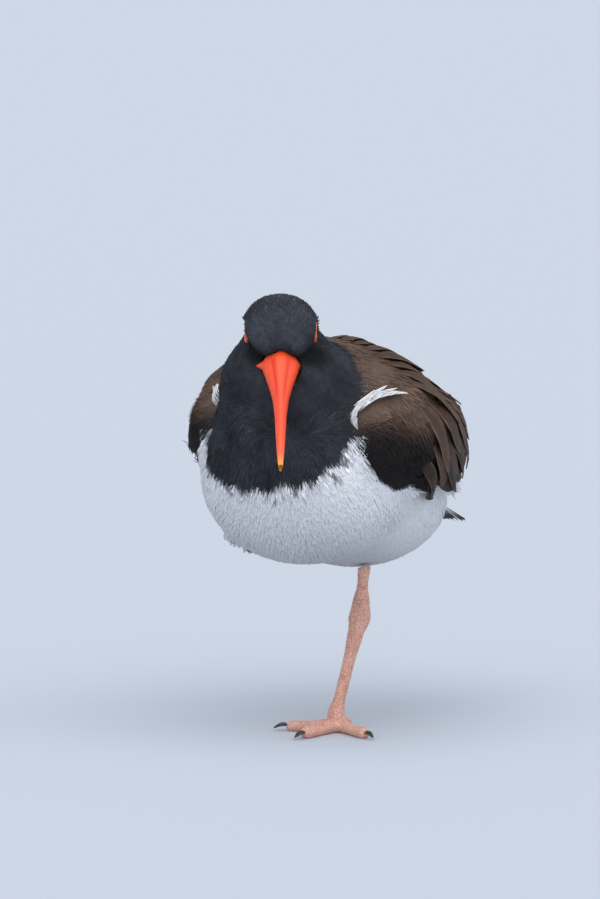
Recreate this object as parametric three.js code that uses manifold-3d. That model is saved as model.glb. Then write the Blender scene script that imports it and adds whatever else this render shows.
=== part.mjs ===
// An oystercatcher of the pied kind, life size, resting on its left leg with the right one drawn up
// into the belly plumage, its neck sunk between the shoulders and its bill dipped.
// Millimetres, +Z up. The bird's breast faces -Y and its left side is +X. The origin is on the floor,
// under the middle of the standing foot.

import * as THREE from "three";
import { mergeVertices } from "three/addons/utils/BufferGeometryUtils.js";
import Module from "manifold-3d";

const wasm = await Module();
wasm.setup();

// Driving dimensions
const GAP = 0.4; // between touching solids
const BILL_LENGTH = 80; // from the forehead feathers to the tip
const HEAD_YAW = 27; // degrees, the head turned towards the bird's left
const HEAD_DIP = 40; // degrees that the bill points below the horizontal
const BODY_PITCH = 24; // degrees that the body's axis falls towards the tail
const BILL_BASE = new THREE.Vector3(4.7, -77, 212); // where the bill leaves the forehead
const BODY_CENTRE = new THREE.Vector3(-4, -8, 146);
const ANKLE = new THREE.Vector3(7, 12, 61);
const FOOT_HUB = new THREE.Vector3(0, 0, 7.5);
const LEG_EXIT = new THREE.Vector3(13, 6, 92); // where the bare shank leaves the feathers
const EYE_RADIUS = 5.6;
const VANE_THICK = 0.8;

const rad = THREE.MathUtils.degToRad;
const mix = THREE.MathUtils.lerp;
const v3 = (x, y, z) => new THREE.Vector3(x, y, z);

// Solids: closed three.js meshes joined and cut

function solid(geometry) {
  const bare = new THREE.BufferGeometry().setAttribute("position", geometry.getAttribute("position"));
  if (geometry.index) bare.setIndex(geometry.index);
  const merged = mergeVertices(bare, 1e-4);
  const made = new wasm.Manifold(
    new wasm.Mesh({
      numProp: 3,
      vertProperties: new Float32Array(merged.attributes.position.array),
      triVerts: new Uint32Array(merged.index.array),
    }),
  );
  return made;
}

const join = (list) => wasm.Manifold.union(list);

function largest(made) {
  return made.decompose().sort((a, b) => b.volume() - a.volume())[0];
}

function node(name, made, material) {
  const { numProp, numVert, vertProperties, triVerts } = largest(made.simplify(0.1)).getMesh();
  const places = new Float32Array(numVert * 3);
  for (let i = 0; i < numVert; i++) places.set(vertProperties.subarray(i * numProp, i * numProp + 3), i * 3);
  const geometry = new THREE.BufferGeometry()
    .setAttribute("position", new THREE.BufferAttribute(places, 3))
    .setIndex(new THREE.BufferAttribute(triVerts, 1));
  geometry.computeVertexNormals();
  const mesh = new THREE.Mesh(geometry, material);
  mesh.name = name;
  return mesh;
}

// A block that holds everything on the far side of a plane.
function halfSpace(point, normal) {
  const size = 800;
  const block = new THREE.BoxGeometry(size, size, size);
  block.translate(0, 0, size / 2);
  const turn = new THREE.Quaternion().setFromUnitVectors(v3(0, 0, 1), normal.clone().normalize());
  block.applyQuaternion(turn);
  block.translate(point.x, point.y, point.z);
  return solid(block);
}

// Both sides of a plane cut, with the gap between them: [side the normal points to, other side].
function parted(made, point, normal) {
  const way = normal.clone().normalize();
  const ahead = halfSpace(point.clone().addScaledVector(way, GAP / 2), way);
  const behind = halfSpace(point.clone().addScaledVector(way, -GAP / 2), way.clone().negate());
  return [made.intersect(ahead), made.intersect(behind)];
}

// Flesh: ellipsoids melted into one another

function blob(at, half, turn = new THREE.Quaternion()) {
  return { at, half, back: turn.clone().invert() };
}

const tilted = (pitch, yaw = 0, roll = 0) =>
  new THREE.Quaternion().setFromEuler(new THREE.Euler(rad(pitch), rad(roll), rad(yaw), "ZYX"));

const scratch = new THREE.Vector3();

function blobDistance(b, p) {
  const q = scratch.copy(p).sub(b.at).applyQuaternion(b.back);
  const k0 = Math.hypot(q.x / b.half.x, q.y / b.half.y, q.z / b.half.z);
  const k1 = Math.hypot(q.x / b.half.x ** 2, q.y / b.half.y ** 2, q.z / b.half.z ** 2);
  return k1 < 1e-9 ? -Math.min(b.half.x, b.half.y, b.half.z) : (k0 * (k0 - 1)) / k1;
}

// Distance to a list of blobs, melted over the given width.
function formDistance(form, p) {
  let d = Infinity;
  for (const b of form.blobs) {
    const e = blobDistance(b, p);
    const h = Math.max(form.melt - Math.abs(d - e), 0) / form.melt;
    d = Math.min(d, e) - (d === Infinity ? 0 : (h * h * form.melt) / 4);
  }
  return d;
}

// How far the form's skin is from a point inside it, going the given way.
function reach(form, from, way, far = 160) {
  const p = new THREE.Vector3();
  const at = (r) => formDistance(form, p.copy(from).addScaledVector(way, r));
  let out = far;
  let inside = 0;
  for (let r = far; r > 0; r -= 6) {
    if (at(r) < 0) {
      inside = r;
      break;
    }
    out = r;
  }
  for (let i = 0; i < 16; i++) {
    const mid = (inside + out) / 2;
    if (at(mid) < 0) inside = mid;
    else out = mid;
  }
  return (inside + out) / 2;
}

// A closed ball of triangles drawn out to the form's skin, or that much past it.
function ballOf(form, centre, detail, stretch = v3(1, 1, 1), grow = 0) {
  const ball = new THREE.IcosahedronGeometry(1, detail);
  const places = ball.getAttribute("position");
  const way = new THREE.Vector3();
  for (let i = 0; i < places.count; i++) {
    way.fromBufferAttribute(places, i).multiply(stretch).normalize();
    const r = reach(form, centre, way) + grow;
    places.setXYZ(i, centre.x + way.x * r, centre.y + way.y * r, centre.z + way.z * r);
  }
  return solid(ball);
}

// Head frame: x to the bird's left, y backwards from the bill's base, z up from the bill's line

const headTurn = tilted(HEAD_DIP, HEAD_YAW);
const onHead = (x, y, z) => v3(x, y, z).applyQuaternion(headTurn).add(BILL_BASE);
const headBlob = (at, half) => blob(onHead(...at), v3(...half), headTurn);

const headForm = {
  melt: 7,
  blobs: [
    headBlob([-0.4, 19, 9.6], [20.3, 19, 8.8]), // crown and brows
    headBlob([0, 21, -2.6], [16.7, 20, 12.6]), // cheeks
    headBlob([0, 6, 0.5], [10.5, 10, 9.5]), // forehead and chin
  ],
};

// Body form, from the breast to the vent

const bodyTurn = tilted(-BODY_PITCH);
const fleshForm = {
  melt: 20,
  blobs: [
    blob(BODY_CENTRE, v3(57, 80, 50), bodyTurn),
    blob(v3(-5, -35, 143), v3(57, 45, 48)), // breast keel
    blob(v3(-5, -53, 193), v3(37, 32, 36)), // neck, sunk between the shoulders
    blob(v3(-2, -8, 182), v3(54, 50, 29.5), tilted(-18)), // shoulders and mantle
    blob(v3(-1, 25, 125.5), v3(50, 48, 38), tilted(-4)), // thighs and flanks
    blob(v3(-3, 58, 125), v3(38, 38, 26), bodyTurn), // rump and vent
  ],
};
const wholeForm = { melt: 12, blobs: [...fleshForm.blobs, ...headForm.blobs] };

// Folded wing, from the wrist beside the breast to the rump
const wingForm = (side) => ({
  melt: 16,
  blobs: [
    blob(v3(-4 + side * 49, -22, 163), v3(18, 40, 27), tilted(-12, 0, side * 6)),
    blob(v3(-4 + side * 41, 28, 155), v3(18, 50, 27), tilted(-16, side * 12, side * 10)),
  ],
});

// The streamlined outside that feathers lie along, out over the tail
const tailBlob = blob(v3(-4, 92, 124), v3(24, 50, 11), tilted(-25));
const coatForm = { melt: 16, blobs: [...fleshForm.blobs, ...wingForm(1).blobs, ...wingForm(-1).blobs, tailBlob] };

// A place on the coat: how far back, the angle round from the top towards the bird's left, and how high.
function onCoat(y, angle, height) {
  const from = v3(-4, y, 150 - (y + 8) * 0.3);
  const way = v3(Math.sin(rad(angle)), 0, Math.cos(rad(angle)));
  return from.addScaledVector(way, reach(coatForm, from, way) + height);
}

// Materials

const finish = (colour, roughness) => new THREE.MeshStandardMaterial({ color: colour, roughness, metalness: 0 });
const black = finish(0x23242b, 0.8);
const brown = finish(0x4a372b, 0.8);
const darkBrown = finish(0x2c221d, 0.75);
const white = finish(0xd9dade, 0.85);
const billOrange = finish(0xf4502e, 0.4);
const legPink = finish(0xdba890, 0.6);
const clawBlack = finish(0x24211f, 0.4);
const eyeYellow = finish(0xe8a020, 0.15);
const ringRed = finish(0xe2502a, 0.45);

// Shapes drawn out of three.js balls and sheets

function facingOut(geometry) {
  const made = solid(geometry);
  if (made.volume() > 0) return made;
  const turned = geometry.clone();
  const index = turned.index.array;
  for (let i = 0; i < index.length; i += 3) [index[i + 1], index[i + 2]] = [index[i + 2], index[i + 1]];
  return solid(turned);
}

// A ball whose poles are the two ends of a drawn form: rule(share along, angle) gives the place.
function drawnOut(rings, sides, rule) {
  const ball = new THREE.SphereGeometry(1, sides, rings);
  const places = ball.getAttribute("position");
  const uv = ball.getAttribute("uv");
  for (let i = 0; i < places.count; i++) {
    const share = 1 - uv.getY(i);
    const turn = (uv.getX(i) % 1) * Math.PI * 2;
    const pole = share < 1e-6 || share > 1 - 1e-6;
    const p = rule(share, pole ? 0 : turn, pole);
    places.setXYZ(i, p.x, p.y, p.z);
  }
  return facingOut(ball);
}

// A limb along a curve of stations [place, half width across, half width fore and aft].
function limb(stations, { sides = 10, rings = 4 * stations.length, side = v3(1, 0, 0), grow = 0 } = {}) {
  const line = new THREE.CatmullRomCurve3(stations.map((s) => s[0]), false, "centripetal");
  const last = stations.length - 1;
  return drawnOut(rings, sides, (share, turn, pole) => {
    const p = line.getPoint(share);
    const ahead = line.getTangent(share);
    if (pole) return p.addScaledVector(ahead, share > 0.5 ? grow : -grow);
    const across = side.clone().addScaledVector(ahead, -side.dot(ahead)).normalize();
    const fore = ahead.clone().cross(across);
    const at = Math.min(share * last, last - 1e-6);
    const i = Math.floor(at);
    const step = at - i;
    const ease = step * step * (3 - 2 * step);
    const round = Math.min(1, Math.sqrt(1 - (2 * share - 1) ** 14) + 0.15);
    const wide = (mix(stations[i][1], stations[i + 1][1], ease) + grow) * round;
    const deep = (mix(stations[i][2], stations[i + 1][2], ease) + grow) * round;
    return p.addScaledVector(across, wide * Math.cos(turn)).addScaledVector(fore, deep * Math.sin(turn));
  });
}

// A thin plate of cells, split into triangles alike on both faces: place(along, across, face).
function plate(cells, rows, place) {
  const sheet = new THREE.PlaneGeometry(1, 1, cells, rows);
  const uv = sheet.getAttribute("uv");
  const count = uv.count;
  const places = [];
  for (const face of [1, 0]) {
    for (let i = 0; i < count; i++) places.push(...place(uv.getX(i), uv.getY(i) * 2 - 1, face).toArray());
  }
  const flat = Array.from(sheet.index.array);
  const index = [...flat];
  for (let i = 0; i < flat.length; i += 3) index.push(flat[i] + count, flat[i + 2] + count, flat[i + 1] + count);
  const at = (x, y) => x + y * (cells + 1);
  const rim = [];
  for (let x = 0; x < cells; x++) rim.push(at(x, 0));
  for (let y = 0; y < rows; y++) rim.push(at(cells, y));
  for (let x = cells; x > 0; x--) rim.push(at(x, rows));
  for (let y = rows; y > 0; y--) rim.push(at(0, y));
  rim.forEach((a, i) => {
    const b = rim[(i + 1) % rim.length];
    index.push(a, b, a + count, b, b + count, a + count);
  });
  const made = new THREE.BufferGeometry().setAttribute("position", new THREE.Float32BufferAttribute(places, 3));
  return facingOut(made.setIndex(index));
}

const smooth = (x) => THREE.MathUtils.smoothstep(x, 0, 1);

// Width of a feather along its length: narrow at the root, full in the middle, rounded at the tip.
const vaneWidth = (s, point) => (0.55 + 0.45 * smooth(s * 3)) * Math.sqrt(Math.max(1 - s ** point, 0.05));

// A feather lying on the coat. Root and tip are [how far back, angle]; its root is sunk in what it grows from.
function coatVane(root, tip, { width, height, lift = 1.6, tilt = 0.6, point = 6, sunk = 2, bow = 0, grow = 0 }) {
  return plate(3, 2, (s, w, face) => {
    const t = s * (1 + (grow * 1.4) / 40) - (grow * 0.7) / 40;
    const y = mix(root[0], tip[0], t);
    const angle = mix(root[1], tip[1], t) + bow * Math.sin(Math.PI * t);
    const here = onCoat(y, angle, 0);
    const on = onCoat(y + 1, angle + (tip[1] - root[1]) / (tip[0] - root[0]), 0);
    const ahead = on.sub(here).normalize();
    const out = here.clone().sub(v3(-4, y, 150 - (y + 8) * 0.3)).normalize();
    const across = ahead.clone().cross(out).normalize();
    const half = (width / 2) * vaneWidth(Math.min(Math.max(t, 0), 1), point) + grow;
    const rise = mix(-sunk, height, smooth(Math.min(t * 2.2, 1))) + lift * Math.max(t, 0) ** 2;
    const camber = (1 - w * w) * 0.2;
    const level = rise + camber + tilt * w + (face - 0.5) * (VANE_THICK + 2 * grow);
    return here.addScaledVector(across, half * w).addScaledVector(out, level);
  });
}

// Rows of like feathers spread evenly between two lines of roots and tips.
function tier(count, from, to, options) {
  return Array.from({ length: count }, (_, i) => {
    const share = count > 1 ? i / (count - 1) : 0.5;
    const blend = (a, b) => [mix(a[0], b[0], share), mix(a[1], b[1], share)];
    const vary = 1 + 0.05 * Math.sin(i * 2.4 + count);
    const width = (options.width ?? 14) * vary;
    const root = blend(from.root, to.root);
    const tip = blend(from.tip, to.tip);
    tip[0] += Math.sin(i * 3.1 + count) * (options.ragged ?? 1);
    return coatVane(root, tip, { ...options, width, height: options.height + i * (options.stack ?? 0) });
  });
}
const mirrored = (made) => made.mirror([1, 0, 0]).translate([-8, 0, 0]);

const group = new THREE.Group();
const put = (name, made, material) => group.add(node(name, made, material));

// Bill: one blade parted along the line of the mouth, with the fleshy corners of the gape

const GAPE = -3.6; // height of the mouth line, where the bill is widest
const billStations = [
  // forward from the forehead, half width, height above the line, depth below it
  [-8, 8, 5, 7],
  [0, 10.8, 6.6, 8.4],
  [4, 12, 6.5, 8.2],
  [8, 10.8, 6.3, 7.8],
  [13, 9.1, 5.9, 7.2],
  [21, 6.6, 5.5, 6.3],
  [29, 4.8, 5, 5.8],
  [37, 3.8, 4.7, 5.6],
  [53, 2.5, 4, 4.8],
  [69, 1.6, 2.9, 3.3],
  [76, 1.2, 1.9, 2.1],
  [80, 0.8, 1.1, 1.2],
];

function station(stations, at, column) {
  const last = stations.length - 1;
  const i = Math.min(Math.max(stations.findIndex((s) => s[0] > at) - 1, 0), last - 1);
  if (at >= stations[last][0]) return stations[last][column];
  const share = Math.max(0, (at - stations[i][0]) / (stations[i + 1][0] - stations[i][0]));
  return mix(stations[i][column], stations[i + 1][column], share);
}

// The bill's section is an arch over a shallower keel, both from the mouth line.
function bill(grow = 0) {
  const from = billStations[0][0];
  const scale = BILL_LENGTH / 80;
  return drawnOut(18, 12, (share, turn, pole) => {
    const f = mix(from, 80, share);
    const gape = GAPE * (1 - smooth(f / 70));
    const push = pole ? (share > 0.5 ? 1 : -1) * grow : 0;
    const end = Math.sqrt(1 - (2 * share - 1) ** 10);
    const c = Math.cos(turn);
    const s = Math.sin(turn);
    const wide = pole ? 0 : station(billStations, f, 1) * end + grow;
    const tall = s > 0 ? station(billStations, f, 2) - gape : station(billStations, f, 3) + gape;
    const up = pole ? 0 : tall * end + grow;
    return onHead(wide * Math.sign(c) * Math.abs(c) ** (s > 0 ? 1.1 : 0.8), -f * scale - push, gape + up * s);
  });
}

let [billUpper, billLower] = parted(bill(), onHead(0, 0, GAPE), v3(0, 0.045, 1).applyQuaternion(headTurn));
for (const side of [1, -1]) {
  const slit = new THREE.SphereGeometry(1, 8, 6).scale(1, 5.5, 0.7).applyQuaternion(headTurn);
  const at = onHead(side * 5.6, -14, 2);
  billUpper = billUpper.subtract(solid(slit.translate(at.x, at.y, at.z)));
}
put("bill_upper", billUpper, billOrange);
put("bill_lower", billLower, billOrange);

// Eyes, each with its fleshy ring

const onSide = (side, out) => onHead(side * out, 15.5, 4.4).toArray();
function eyeball(side, grow = 0) {
  return solid(new THREE.IcosahedronGeometry(EYE_RADIUS + 0.8 + grow, 2).translate(...onSide(side, 11.6)));
}
function eyeRing(side) {
  const ring = new THREE.TorusGeometry(4.7, 1, 5, 12).rotateY(Math.PI / 2);
  return solid(ring.applyQuaternion(headTurn).translate(...onSide(side, 16.9)));
}
function socket(side) {
  const room = new THREE.CylinderGeometry(5.7 + GAP, 5.7 + GAP, 8, 14).rotateZ(Math.PI / 2);
  return solid(room.applyQuaternion(headTurn).translate(...onSide(side, 19.5)));
}

for (const side of [1, -1]) {
  const name = side > 0 ? "left" : "right";
  put("eye_" + name, eyeball(side), eyeYellow);
  put("eyelid_" + name, eyeRing(side).subtract(eyeball(side, GAP)), ringRed);
}

// Skin of head and body, parted where the plumage changes colour

const neckCut = { at: onHead(0, 27, -13), way: v3(0, -0.5, 1).applyQuaternion(tilted(0, HEAD_YAW / 2)) };
const collarCut = { at: v3(-4, -50, 196), way: v3(0, -1, 1) };
const bibCut = { at: v3(-4, -76, 139), way: v3(-0.25, -1, 1) };
const sideCut = { at: v3(-4, -46, 160), way: v3(-0.15, -1, 0) };
const flankCut = { at: v3(-4, 0, 158), way: v3(0, 0.36, 1) };
const past = (cut, room) => halfSpace(cut.at.clone().addScaledVector(cut.way.clone().normalize(), room), cut.way);

const bodyMiddle = v3(-4, -10, 152);
const bodyStretch = v3(0.8, 1, 0.8);
const bodyBall = ballOf(wholeForm, bodyMiddle, 8, bodyStretch);
const bodyGrown = ballOf(wholeForm, bodyMiddle, 8, bodyStretch, GAP);
const billRoom = bill(GAP);

const [skull] = parted(ballOf(wholeForm, onHead(0, 18, 2), 6), neckCut.at, neckCut.way);
const sockets = [1, -1].flatMap((side) => [socket(side), eyeball(side, GAP)]);
put("head", skull.subtract(join([...sockets, billRoom])), black);

const [, belowHead] = parted(bodyBall.subtract(billRoom), neckCut.at, neckCut.way);
const [neck, belowNeck] = parted(belowHead, collarCut.at, collarCut.way);
const bib = past(bibCut, GAP / 2).intersect(past(sideCut, GAP / 2));
const bibRoom = past(bibCut, -GAP / 2).intersect(past(sideCut, -GAP / 2));
const [back, belly] = parted(belowNeck.subtract(bibRoom), flankCut.at, flankCut.way);
put("neck", neck, black);
put("breast", belowNeck.intersect(bib), black);
put("belly", belly, white);

// White tuft between the shoulder and the bend of the wing

function tuft(grow = 0) {
  const first = { root: [-59, 67], tip: [-45, 61] };
  const last = { root: [-47, 66], tip: [-30, 62] };
  return join(tier(3, first, last, { width: 7.5, height: 3, point: 2, grow }));
}
const tuftRoom = join([tuft(GAP), mirrored(tuft(GAP))]);

// Mantle and scapulars: feathers in rows from the nape, lapping over the top of each wing

// The bed that the scapulars grow from, over the top of the wing.
function scapularBed(grow) {
  return plate(6, 3, (s, w, face) => {
    const y = mix(-48 - grow, 44 + grow, s);
    const edge = mix(58, 34, s * s) + grow;
    const angle = mix(10 - grow, edge, (w + 1) / 2);
    return onCoat(y, angle, face ? 1.8 + grow : -4 - grow);
  });
}
const scapularRows = [
  [3, { root: [-52, 8], tip: [-16, 10] }, { root: [-44, 46], tip: [-16, 60] }, { width: 24, height: 3.4 }],
  [3, { root: [-28, 8], tip: [14, 10] }, { root: [-26, 48], tip: [14, 66] }, { width: 27, height: 3.3 }],
  [3, { root: [2, 6], tip: [54, 8] }, { root: [-2, 44], tip: [48, 58] }, { width: 27, height: 3.2 }],
];
const bed = scapularBed(0);
const scapularVanes = (grow) => scapularRows.flatMap(([count, from, to, form]) => tier(count, from, to, { ...form, grow }));
const leftScapulars = join([bed, ...scapularVanes(0)]);
const scapularRoom = join([scapularBed(GAP), ...scapularVanes(GAP)]);
const bothScapulars = join([leftScapulars, mirrored(leftScapulars)])
  .subtract(join([past(collarCut, -GAP / 2), bibRoom, tuftRoom, bodyGrown.subtract(past(flankCut, GAP / 2))]));
put("back", join([back, bothScapulars]), brown);

// Tail: a shut fan of feathers under the wing tips

const TAIL_ROOT = v3(-4, 52, 140);
const TAIL_LENGTH = 92;
const tailTurn = tilted(-25.5);

function tail(grow = 0) {
  const count = 8;
  return join(
    Array.from({ length: count }, (_, i) => {
      const place = i - (count - 1) / 2;
      const swing = rad(place * 3.1);
      const long = TAIL_LENGTH - Math.abs(place) * 2.2;
      return plate(3, 2, (s, w, face) => {
        const along = mix(-grow, long + grow, s);
        const half = 8.2 * vaneWidth(s, 8) + grow;
        const x = Math.sin(swing) * along + Math.cos(swing) * half * w;
        const y = Math.cos(swing) * along - Math.sin(swing) * half * w;
        const level = -Math.abs(place) * 0.55 - w * Math.sign(place) * 0.35 - (x / 26) ** 2 * 2;
        const z = level + (face - 0.5) * (VANE_THICK + 2 * grow);
        return v3(x, y, z).applyQuaternion(tailTurn).add(TAIL_ROOT);
      });
    }),
  );
}

const tailGrown = tail(GAP);
put("tail", tail().subtract(bodyGrown), darkBrown);

function tailCoverts(rise, long, wide, grow = 0) {
  const centre = v3(0, 36, rise).applyQuaternion(tailTurn).add(TAIL_ROOT);
  const core = new THREE.SphereGeometry(1, 12, 8).scale(wide * 0.8 + grow, long * 0.62 + grow, 8 + grow);
  const vanes = [-2, -1, 0, 1, 2].map((i) =>
    plate(3, 2, (s, w, face) => {
      const y = mix(14 - grow, 36 + long - Math.abs(i) * 5 + grow, s);
      const x = i * wide * 0.3 * (1 - 0.3 * s) + w * (wide * 0.3 * vaneWidth(s, 4) + grow);
      const up = Math.sign(rise) * (1.5 + (1 - s) * 3.5 - Math.abs(i) * 0.6);
      return v3(x, y, rise * 0.45 + up + (face - 0.5) * (VANE_THICK + 2 * grow))
        .applyQuaternion(tailTurn)
        .add(TAIL_ROOT);
    }),
  );
  return join([solid(core.applyQuaternion(tailTurn).translate(...centre.toArray())), ...vanes]);
}
const bodyAndTail = join([bodyGrown, tailGrown]);
put("tail_coverts_upper", tailCoverts(6, 30, 18).subtract(bodyAndTail), white);
put("tail_coverts_under", tailCoverts(-7, 34, 19).subtract(bodyAndTail), white);
const covertsGrown = join([tailCoverts(6, 30, 18, GAP), tailCoverts(-7, 34, 19, GAP)]);

// Wings: coverts, secondaries, tertials and primaries in tiers over a thin core

const bedRoom = join([bodyGrown, scapularBed(GAP), mirrored(scapularBed(GAP))]);
const backRoom = join([bodyGrown, scapularRoom, mirrored(scapularRoom)]);

const wingRows = [
  [3, { root: [62, 60], tip: [112, 32] }, { root: [60, 42], tip: [130, 14] }, { width: 14, height: 0, stack: 0.9, tilt: 0.3, point: 3, bow: 3 }],
  [3, { root: [14, 92], tip: [66, 80] }, { root: [14, 58], tip: [104, 40] }, { width: 19, height: 0.6, stack: 0.7, point: 5, bow: 4 }],
  [4, { root: [-20, 102], tip: [26, 103] }, { root: [0, 62], tip: [62, 66] }, { width: 18, height: 1.4, point: 6 }],
  [3, { root: [-38, 99], tip: [-2, 102] }, { root: [-22, 66], tip: [26, 72] }, { width: 18.5, height: 2.1, point: 5 }],
  [3, { root: [-52, 90], tip: [-24, 98] }, { root: [-40, 68], tip: [-2, 74] }, { width: 15, height: 2.8, point: 4 }],
];
const wingCore = ballOf(wingForm(1), v3(42, 4, 160), 4, v3(0.5, 1, 0.7));
const leftWing = join([wingCore, ...wingRows.flatMap((row) => tier(...row))]);
const wingRoom = join([backRoom, tailGrown, covertsGrown, tuftRoom]);
put("shoulder_tuft_left", tuft().subtract(bedRoom), white);
put("shoulder_tuft_right", mirrored(tuft()).subtract(bedRoom), white);
put("wing_left", leftWing.subtract(wingRoom), brown);
put("wing_right", mirrored(leftWing).subtract(wingRoom), brown);

// Standing leg

const shankWay = LEG_EXIT.clone().sub(ANKLE);
const onShank = (share) => ANKLE.clone().addScaledVector(shankWay, share);
const onTarsus = (share) => ANKLE.clone().lerp(v3(-2, 0.5, FOOT_HUB.z), share);
const leg = limb(
  [
    [onShank(1.3), 6.5, 7.5],
    [onShank(1), 3.8, 4.2],
    [onShank(0.6), 2.9, 3.3],
    [onShank(0.24), 4.9, 5.5],
    [ANKLE.clone(), 6.2, 6.6],
    [onTarsus(0.16), 4.4, 4.8],
    [onTarsus(0.45), 3.2, 3.9],
    [onTarsus(0.8), 3.1, 3.6],
    [onTarsus(0.97), 4.8, 5],
    [v3(-1.4, 1, 1.5), 4.6, 4.8],
  ],
  { sides: 10, rings: 24 },
);

const TOES = { inner: [-63, 34, 3.3], middle: [-9, 39, 3.7], outer: [57, 37, 3.5] }; // heading, length, half width
const floor = halfSpace(v3(0, 0, 0), v3(0, 0, 1));
const toeWay = (heading) => v3(Math.sin(rad(heading)), -Math.cos(rad(heading)), 0);

function toe([heading, long, half]) {
  const way = toeWay(heading);
  const at = (share, up) => FOOT_HUB.clone().addScaledVector(way, long * share).setZ(up);
  return limb(
    [
      [at(-0.06, half * 0.9), half, half],
      [at(0.2, half * 0.95), half * 1.05, half * 1.1],
      [at(0.45, half * 0.8), half * 0.92, half * 0.94],
      [at(0.7, half * 0.82), half * 1.05, half * 1],
      [at(0.84, half * 0.66), half * 0.75, half * 0.78],
    ],
    { sides: 8, rings: 10, side: way.clone().cross(v3(0, 0, 1)) },
  );
}

function claw([heading, long, half], grow = 0) {
  const way = toeWay(heading);
  const at = (share, up) => FOOT_HUB.clone().addScaledVector(way, long * share).setZ(up);
  return limb(
    [
      [at(0.8, 3.6), half * 0.45, 1.1],
      [at(0.9, 3.7), half * 0.5, 1.1],
      [at(1.04, 1.4), 0.5, 0.5],
    ],
    { sides: 8, rings: 7, side: way.clone().cross(v3(0, 0, 1)), grow },
  );
}

const toes = Object.entries(TOES);
const hub = limb(
  [
    [v3(1, 10, 2.6), 3, 3],
    [v3(0.6, 4, 3.7), 5.6, 4.6],
    [v3(0.4, -1, 4.1), 6.2, 5],
    [v3(0, -9, 2.6), 3, 3],
  ],
  { sides: 10, rings: 10 },
);
const [shank, belowShank] = parted(leg, onShank(0.26), shankWay);
const [tarsus] = parted(belowShank, v3(0, 0, 9.5), v3(0, 0, 1));
const [, foot] = parted(join([hub, leg, ...toes.map(([, shape]) => toe(shape))]), v3(0, 0, 9.5), v3(0, 0, 1));
const aboveFloor = halfSpace(v3(0, 0, 0.3), v3(0, 0, 1));
put("leg_left_shank", shank.subtract(bodyGrown), legPink);
put("leg_left_tarsus", tarsus, legPink);
put("foot_left", foot.intersect(floor).subtract(join(toes.map(([, shape]) => claw(shape, GAP)))), legPink);
toes.forEach(([name, shape]) => put("claw_left_" + name, claw(shape).intersect(aboveFloor), clawBlack));

// Right leg, folded forward and half sunk in the belly plumage

const foldedTarsus = limb(
  [
    [onCoat(48, -152, 0), 4.6, 4.6],
    [onCoat(42, -150, 0.6), 5.4, 5.6],
    [onCoat(28, -147, 0.8), 3.4, 3.8],
    [onCoat(6, -144, 0.8), 3.3, 3.7],
    [onCoat(-8, -142, 0.6), 4.4, 4.4],
  ],
  { sides: 8, rings: 12 },
);
const foldedToes = { inner: [-150, 24], middle: [-143, 29], outer: [-136, 26] }; // angle, length
const foldedToe = ([angle, long]) =>
  limb(
    [
      [onCoat(-4, mix(-143, angle, 0.3), 0.4), 3.4, 3.4],
      [onCoat(-8 - long * 0.4, angle, 0.8), 3, 3],
      [onCoat(-8 - long * 0.8, angle, 0.6), 2.3, 2.3],
    ],
    { sides: 6, rings: 7 },
  );
const foldedClaw = ([angle, long], grow = 0) =>
  limb(
    [
      [onCoat(-8 - long * 0.74, angle, 1.4), 1.2, 1.2],
      [onCoat(-8 - long * 0.98, angle, 1.6), 1.1, 1.1],
      [onCoat(-8 - long * 1.16, angle, 0.9), 0.7, 0.7],
    ],
    { sides: 6, rings: 6, grow },
  );
const folded = Object.entries(foldedToes);
const foldedCut = onCoat(-6, -142, 0);
const [tarsusRight] = parted(foldedTarsus, foldedCut, v3(0, 1, 0));
const [, footRight] = parted(join(folded.map(([, shape]) => foldedToe(shape))), foldedCut, v3(0, 1, 0));
const clawRooms = join(folded.map(([, shape]) => foldedClaw(shape, GAP)));
put("leg_right_tarsus", tarsusRight.subtract(bodyGrown), legPink);
put("foot_right", footRight.subtract(join([bodyGrown, clawRooms])), legPink);
folded.forEach(([name, shape]) => put("claw_right_" + name, foldedClaw(shape).subtract(bodyGrown), clawBlack));

export default group;
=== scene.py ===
# A life-size oystercatcher: one skin, its feathers and its bare parts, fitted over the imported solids.

import math

import bmesh
import bpy
import numpy as np
from mathutils import Matrix, Vector
from mathutils.bvhtree import BVHTree


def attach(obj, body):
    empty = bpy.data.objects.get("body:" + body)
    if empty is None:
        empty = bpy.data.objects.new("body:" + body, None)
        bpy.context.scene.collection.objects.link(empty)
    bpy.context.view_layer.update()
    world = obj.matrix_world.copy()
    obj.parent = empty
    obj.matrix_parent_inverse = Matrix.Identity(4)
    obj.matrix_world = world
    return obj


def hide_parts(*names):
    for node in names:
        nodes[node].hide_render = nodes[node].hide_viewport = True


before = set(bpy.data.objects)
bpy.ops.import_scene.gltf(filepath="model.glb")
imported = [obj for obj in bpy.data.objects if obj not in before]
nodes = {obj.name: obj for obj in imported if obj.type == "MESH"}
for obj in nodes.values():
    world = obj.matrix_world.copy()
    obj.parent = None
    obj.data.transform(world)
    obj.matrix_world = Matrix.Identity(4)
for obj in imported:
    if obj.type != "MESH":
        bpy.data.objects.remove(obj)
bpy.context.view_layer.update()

MM = 0.001

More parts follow.
